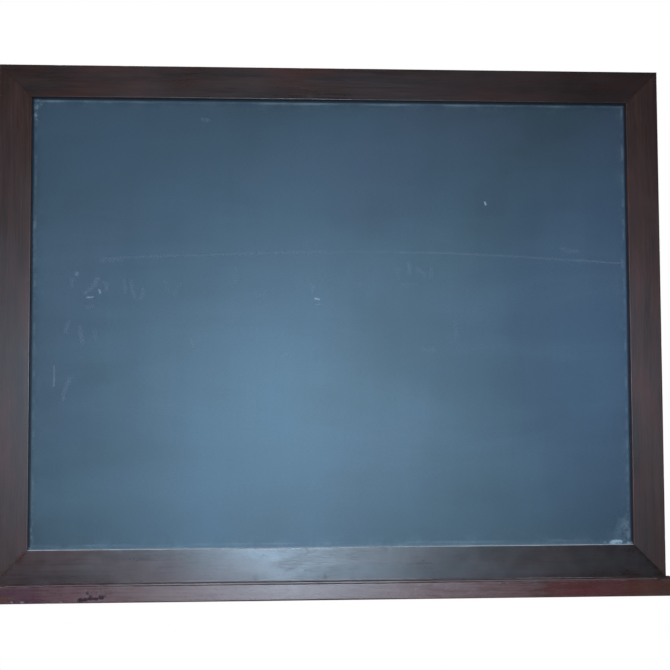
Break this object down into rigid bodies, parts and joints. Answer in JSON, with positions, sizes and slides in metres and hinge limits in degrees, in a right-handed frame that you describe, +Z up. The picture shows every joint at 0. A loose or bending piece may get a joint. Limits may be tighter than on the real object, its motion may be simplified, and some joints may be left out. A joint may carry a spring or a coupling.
{
  "type": "wall chalkboard",
  "caption": "Framed wall chalkboard with a slate-blue writing panel, dark mitred wood frame and a grooved chalk ledge, hung on a lift-off wall bar.",
  "frame": {"origin": "middle of the wall bar's wall face, at the middle of its length and of its flat's height", "axes": "+X to the right as the writing side is read, +Y into the wall, +Z up; the writing side faces -Y"},
  "size_m": [1.354, 0.0746, 1.0573],
  "materials": {
    "frame_wood": "dark espresso stain, satin",
    "ledge_wood": "dark reddish stain, satin",
    "spline_wood": "raw beech",
    "writing_surface": "slate-blue enamel with chalk haze",
    "core_board": "raw fibreboard",
    "backing_sheet": "mill",
    "plated_steel": "zinc plated",
    "bar_aluminium": "mill",
    "bumper_rubber": "matt"
  },
  "bodies": {
    "wall": {"wall_bar": "bar_aluminium"},
    "board": {"top_rail": "frame_wood", "right_stile": "frame_wood", "bottom_rail": "frame_wood", "left_stile": "frame_wood", "mitre_spline_top_left": "spline_wood", "mitre_spline_top_right": "spline_wood", "mitre_spline_bottom_right": "spline_wood", "mitre_spline_bottom_left": "spline_wood", "writing_sheet": "writing_surface", "core_board": "core_board", "backing_sheet": "backing_sheet", "chalk_ledge": "ledge_wood", "ledge_screw_1": "plated_steel", "ledge_screw_2": "plated_steel", "ledge_screw_3": "plated_steel", "ledge_screw_4": "plated_steel", "corner_plate_top_left": "plated_steel", "corner_plate_top_right": "plated_steel", "corner_plate_bottom_right": "plated_steel", "corner_plate_bottom_left": "plated_steel", "plate_screw_top_left_1": "plated_steel", "plate_screw_top_left_2": "plated_steel", "plate_screw_top_left_3": "plated_steel", "plate_screw_top_left_4": "plated_steel", "plate_screw_top_right_1": "plated_steel", "plate_screw_top_right_2": "plated_steel", "plate_screw_top_right_3": "plated_steel", "plate_screw_top_right_4": "plated_steel", "plate_screw_bottom_right_1": "plated_steel", "plate_screw_bottom_right_2": "plated_steel", "plate_screw_bottom_right_3": "plated_steel", "plate_screw_bottom_right_4": "plated_steel", "plate_screw_bottom_left_1": "plated_steel", "plate_screw_bottom_left_2": "plated_steel", "plate_screw_bottom_left_3": "plated_steel", "plate_screw_bottom_left_4": "plated_steel", "button_screw_top_left": "plated_steel", "button_screw_top_right": "plated_steel", "button_screw_bottom_left": "plated_steel", "button_screw_bottom_right": "plated_steel", "button_screw_side_left": "plated_steel", "button_screw_side_right": "plated_steel", "hanger_bar": "bar_aluminium", "hanger_screw_1": "plated_steel", "hanger_screw_2": "plated_steel", "hanger_screw_3": "plated_steel", "hanger_screw_4": "plated_steel", "wall_bumper_left": "bumper_rubber", "wall_bumper_right": "bumper_rubber"},
    "turn_button_top_left": {"turn_button_top_left": "plated_steel"},
    "turn_button_top_right": {"turn_button_top_right": "plated_steel"},
    "turn_button_bottom_left": {"turn_button_bottom_left": "plated_steel"},
    "turn_button_bottom_right": {"turn_button_bottom_right": "plated_steel"},
    "turn_button_side_left": {"turn_button_side_left": "plated_steel"},
    "turn_button_side_right": {"turn_button_side_right": "plated_steel"}
  },
  "joints": [
    {"name": "board_lift", "type": "slide", "parent": "wall", "child": "board", "axis": [0, 0, 1], "range_m": [0, 0.012]},
    {"name": "turn_button_top_left_pivot", "type": "hinge", "parent": "board", "child": "turn_button_top_left", "pos_m": [-0.48, -0.0056, 0.0087], "axis": [0, 1, 0], "range_deg": [0, 90]},
    {"name": "turn_button_top_right_pivot", "type": "hinge", "parent": "board", "child": "turn_button_top_right", "pos_m": [0.48, -0.0056, 0.0087], "axis": [0, 1, 0], "range_deg": [0, 90]},
    {"name": "turn_button_bottom_left_pivot", "type": "hinge", "parent": "board", "child": "turn_button_bottom_left", "pos_m": [-0.264, -0.0056, -0.9331], "axis": [0, 1, 0], "range_deg": [0, 90]},
    {"name": "turn_button_bottom_right_pivot", "type": "hinge", "parent": "board", "child": "turn_button_bottom_right", "pos_m": [0.264, -0.0056, -0.9331], "axis": [0, 1, 0], "range_deg": [0, 90]},
    {"name": "turn_button_side_left_pivot", "type": "hinge", "parent": "board", "child": "turn_button_side_left", "pos_m": [-0.6234, -0.0056, -0.4622], "axis": [0, 1, 0], "range_deg": [0, 90]},
    {"name": "turn_button_side_right_pivot", "type": "hinge", "parent": "board", "child": "turn_button_side_right", "pos_m": [0.6234, -0.0056, -0.4622], "axis": [0, 1, 0], "range_deg": [0, 90]}
  ]
}
